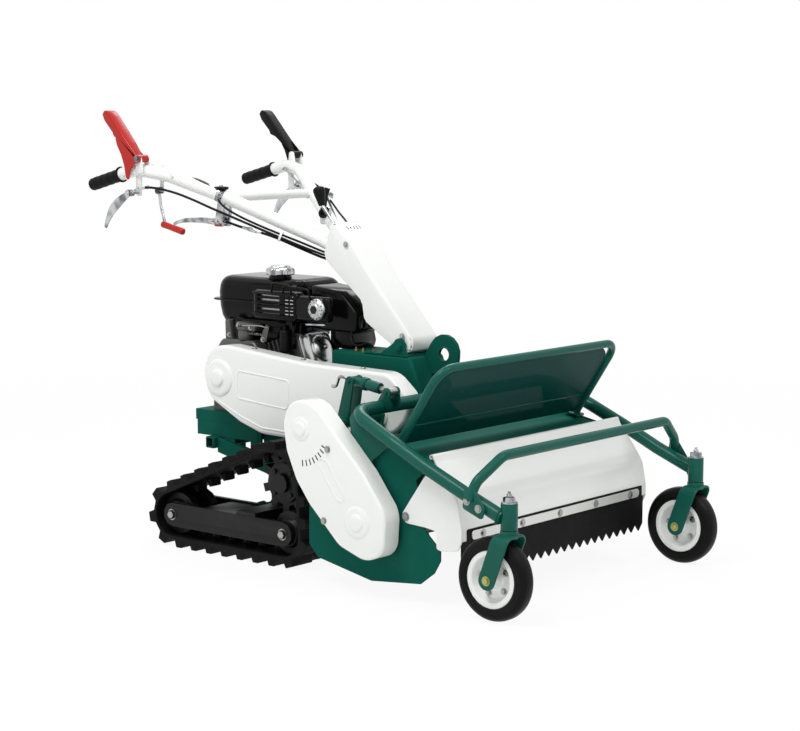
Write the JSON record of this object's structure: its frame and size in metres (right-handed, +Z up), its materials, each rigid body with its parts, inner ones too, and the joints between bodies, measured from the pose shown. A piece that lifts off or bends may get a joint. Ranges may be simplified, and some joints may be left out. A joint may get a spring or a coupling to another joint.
{
  "type": "hammer knife mower",
  "caption": "Walk-behind hammer knife mower on rubber crawlers, with a hinged flail deck on swivel casters, handlebars and a small engine.",
  "frame": {"origin": "on the ground under the middle of the machine's outer size, casters and tracks standing on Z = 0", "axes": "+X the way it drives, +Y its left side, +Z up"},
  "size_m": [1.5833, 0.9151, 1.174],
  "materials": {
    "green_paint": "gloss enamel",
    "white_paint": "gloss enamel",
    "black_paint": "satin enamel",
    "belt_rubber": "moulded rubber",
    "tyre_rubber": "solid rubber",
    "red_plastic": "moulded",
    "black_plastic": "moulded",
    "chrome": "polished",
    "steel": "machined",
    "cast_alloy": "die cast",
    "tinted_sheet": "clear tinted sheet",
    "tank_paint": "gloss enamel"
  },
  "bodies": {
    "chassis": {"main_frame": "green_paint", "rear_frame": "green_paint", "gearbox": "black_paint", "engine_bed": "green_paint", "belt_case": "white_paint", "main_drive_belt": "belt_rubber", "track_belt_right": "belt_rubber", "track_belt_left": "belt_rubber", "track_frame_right": "black_paint", "track_frame_left": "black_paint", "engine_block": "cast_alloy", "head_cover": "chrome", "fuel_tank": "tank_paint", "muffler_guard": "black_paint", "exhaust_outlet": "steel", "air_cleaner": "black_plastic", "recoil_starter": "tank_paint", "handle_bracket": "green_paint"},
    "filler_cap": {"fuel_cap": "chrome"},
    "lay_shaft": {"countershaft": "steel"},
    "crank": {"crank_pulley": "black_paint"},
    "sprocket_right": {"drive_sprocket_right": "black_paint"},
    "sprocket_left": {"drive_sprocket_left": "black_paint"},
    "idler_rear_right": {"rear_idler_right": "black_paint"},
    "idler_rear_left": {"rear_idler_left": "black_paint"},
    "idler_front_right": {"front_idler_right": "black_paint"},
    "idler_front_left": {"front_idler_left": "black_paint"},
    "handle": {"column_cover": "white_paint", "handlebar": "white_paint", "grip_right": "belt_rubber", "grip_left": "belt_rubber"},
    "stop_lever": {"red_lever": "red_plastic"},
    "drive_lever": {"black_lever": "black_plastic"},
    "steer_lever_right": {"clutch_lever_right": "chrome"},
    "steer_lever_left": {"clutch_lever_left": "chrome"},
    "latch": {"latch_lever": "red_plastic"},
    "knife_clutch": {"knife_clutch_lever": "chrome"},
    "gear_lever": {"shift_lever": "black_plastic"},
    "throttle": {"throttle_lever": "black_plastic"},
    "deck": {"deck_shell": "green_paint", "jack_arms": "green_paint", "deck_case": "white_paint", "deck_drive_belt": "belt_rubber", "guard_panel": "tinted_sheet", "guard_tube": "green_paint"},
    "rotor": {"flail_rotor": "steel", "rotor_pulley": "black_paint"},
    "hood": {"front_hood": "white_paint", "rubber_flap": "belt_rubber", "flap_strip": "steel"},
    "carrier": {"caster_frame": "green_paint", "front_bar": "green_paint"},
    "fork_right": {"caster_fork_right": "green_paint"},
    "fork_left": {"caster_fork_left": "green_paint"},
    "wheel_right": {"caster_rim_right": "white_paint", "caster_tyre_right": "tyre_rubber"},
    "wheel_left": {"caster_rim_left": "white_paint", "caster_tyre_left": "tyre_rubber"},
    "jack_tube": {"jack_body": "steel"},
    "jack_rod": {"jack_screw": "steel"}
  },
  "joints": [
    {"name": "fuel_cap_turn", "type": "hinge", "parent": "chassis", "child": "filler_cap", "pos_m": [-0.3604, 0.0025, 0.724], "axis": [0, 0, 1], "range_deg": [0, 90]},
    {"name": "rotor_spin", "type": "hinge", "parent": "deck", "child": "rotor", "pos_m": [0.3126, 0.0055, 0.189], "axis": [0, 1, 0], "continuous": true},
    {"name": "countershaft_spin", "type": "hinge", "parent": "chassis", "child": "lay_shaft", "pos_m": [0.1306, 0.0055, 0.399], "axis": [0, 1, 0], "continuous": true},
    {"name": "crank_spin", "type": "hinge", "parent": "chassis", "child": "crank", "pos_m": [-0.4454, 0.0055, 0.447], "axis": [0, 1, 0], "continuous": true},
    {"name": "track_drive_right", "type": "hinge", "parent": "chassis", "child": "sprocket_right", "pos_m": [-0.0984, -0.2395, 0.212], "axis": [0, 1, 0], "continuous": true, "deforming": ["track_belt_right"]},
    {"name": "rear_idler_spin_right", "type": "hinge", "parent": "chassis", "child": "idler_rear_right", "pos_m": [-0.4696, -0.2395, 0.088], "axis": [0, 1, 0], "continuous": true},
    {"name": "front_idler_spin_right", "type": "hinge", "parent": "chassis", "child": "idler_front_right", "pos_m": [-0.0604, -0.2395, 0.088], "axis": [0, 1, 0], "continuous": true},
    {"name": "track_drive_left", "type": "hinge", "parent": "chassis", "child": "sprocket_left", "pos_m": [-0.0984, 0.2505, 0.212], "axis": [0, 1, 0], "continuous": true, "deforming": ["track_belt_left"]},
    {"name": "rear_idler_spin_left", "type": "hinge", "parent": "chassis", "child": "idler_rear_left", "pos_m": [-0.4696, 0.2505, 0.088], "axis": [0, 1, 0], "continuous": true},
    {"name": "front_idler_spin_left", "type": "hinge", "parent": "chassis", "child": "idler_front_left", "pos_m": [-0.0604, 0.2505, 0.088], "axis": [0, 1, 0], "continuous": true},
    {"name": "handle_height", "type": "hinge", "parent": "chassis", "child": "handle", "pos_m": [0.1166, 0.0055, 0.564], "axis": [0, 1, 0], "range_deg": [0, 6]},
    {"name": "stop_lever_squeeze", "type": "hinge", "parent": "handle", "child": "stop_lever", "pos_m": [-0.5844, -0.2945, 1.044], "axis": [0, -1, 0], "range_deg": [0, 42], "stiffness_Nm_per_rad": 1.5, "springref_deg": -14.32},
    {"name": "drive_lever_squeeze", "type": "hinge", "parent": "handle", "child": "drive_lever", "pos_m": [-0.5844, 0.3055, 1.044], "axis": [0, -1, 0], "range_deg": [0, 42], "stiffness_Nm_per_rad": 1.5, "springref_deg": -14.32},
    {"name": "steer_lever_right_pull", "type": "hinge", "parent": "handle", "child": "steer_lever_right", "pos_m": [-0.6014, -0.3275, 0.952], "axis": [0, 1, 0], "range_deg": [0, 20], "stiffness_Nm_per_rad": 1},
    {"name": "steer_lever_left_pull", "type": "hinge", "parent": "handle", "child": "steer_lever_left", "pos_m": [-0.6014, 0.3385, 0.952], "axis": [0, 1, 0], "range_deg": [0, 20], "stiffness_Nm_per_rad": 1},
    {"name": "latch_swing", "type": "hinge", "parent": "handle", "child": "latch", "pos_m": [-0.5554, -0.2645, 0.958], "axis": [0, 1, 0], "range_deg": [-15, 15]},
    {"name": "knife_clutch_swing", "type": "hinge", "parent": "handle", "child": "knife_clutch", "pos_m": [-0.4204, -0.1645, 0.874], "axis": [0, 1, 0], "range_deg": [0, 25]},
    {"name": "gear_shift", "type": "hinge", "parent": "handle", "child": "gear_lever", "pos_m": [-0.1304, 0.0055, 0.835], "axis": [0, 1, 0], "range_deg": [-12, 8]},
    {"name": "throttle_turn", "type": "hinge", "parent": "handle", "child": "throttle", "pos_m": [-0.2724, 0.0805, 0.892], "axis": [0, 1, 0], "range_deg": [-20, 30]},
    {"name": "deck_float", "type": "hinge", "parent": "chassis", "child": "deck", "pos_m": [0.1306, 0.0055, 0.399], "axis": [0, 1, 0], "range_deg": [-2, 3]},
    {"name": "hood_open", "type": "hinge", "parent": "deck", "child": "hood", "pos_m": [0.4136, 0.0055, 0.208], "axis": [0, -1, 0], "range_deg": [0, 32], "deforming": ["rubber_flap"]},
    {"name": "cutting_height", "type": "hinge", "parent": "deck", "child": "carrier", "pos_m": [0.2696, 0.0055, 0.33], "axis": [0, 1, 0], "range_deg": [-4.5, 1.5]},
    {"name": "jack_swing", "type": "hinge", "parent": "deck", "child": "jack_tube", "pos_m": [0.1526, -0.2745, 0.503], "axis": [0, 1, 0], "range_deg": [-0.5, 1.2]},
    {"name": "jack_extend", "type": "slide", "parent": "jack_tube", "child": "jack_rod", "axis": [0.9891, 0, -0.1471], "range_m": [-0.015, 0.005]},
    {"name": "caster_swivel_right", "type": "hinge", "parent": "carrier", "child": "fork_right", "pos_m": [0.7296, -0.3955, 0.25], "axis": [0, 0, 1], "continuous": true},
    {"name": "caster_roll_right", "type": "hinge", "parent": "fork_right", "child": "wheel_right", "pos_m": [0.6916, -0.3955, 0.1], "axis": [0, 1, 0], "continuous": true},
    {"name": "caster_swivel_left", "type": "hinge", "parent": "carrier", "child": "fork_left", "pos_m": [0.7296, 0.4065, 0.25], "axis": [0, 0, 1], "continuous": true},
    {"name": "caster_roll_left", "type": "hinge", "parent": "fork_left", "child": "wheel_left", "pos_m": [0.6916, 0.4065, 0.1], "axis": [0, 1, 0], "continuous": true}
  ],
  "couplings": [
    {"joint": "countershaft_spin", "follows": "rotor_spin", "ratio": 1.1304},
    {"joint": "crank_spin", "follows": "rotor_spin", "ratio": 0.98299},
    {"joint": "jack_swing", "follows": "cutting_height", "ratio": -0.21},
    {"joint": "jack_extend", "follows": "cutting_height", "m_per_rad": 0.153},
    {"joint": "rear_idler_spin_right", "follows": "track_drive_right", "ratio": 1.4475},
    {"joint": "front_idler_spin_right", "follows": "track_drive_right", "ratio": 1.4475},
    {"joint": "rear_idler_spin_left", "follows": "track_drive_left", "ratio": 1.4475},
    {"joint": "front_idler_spin_left", "follows": "track_drive_left", "ratio": 1.4475}
  ]
}
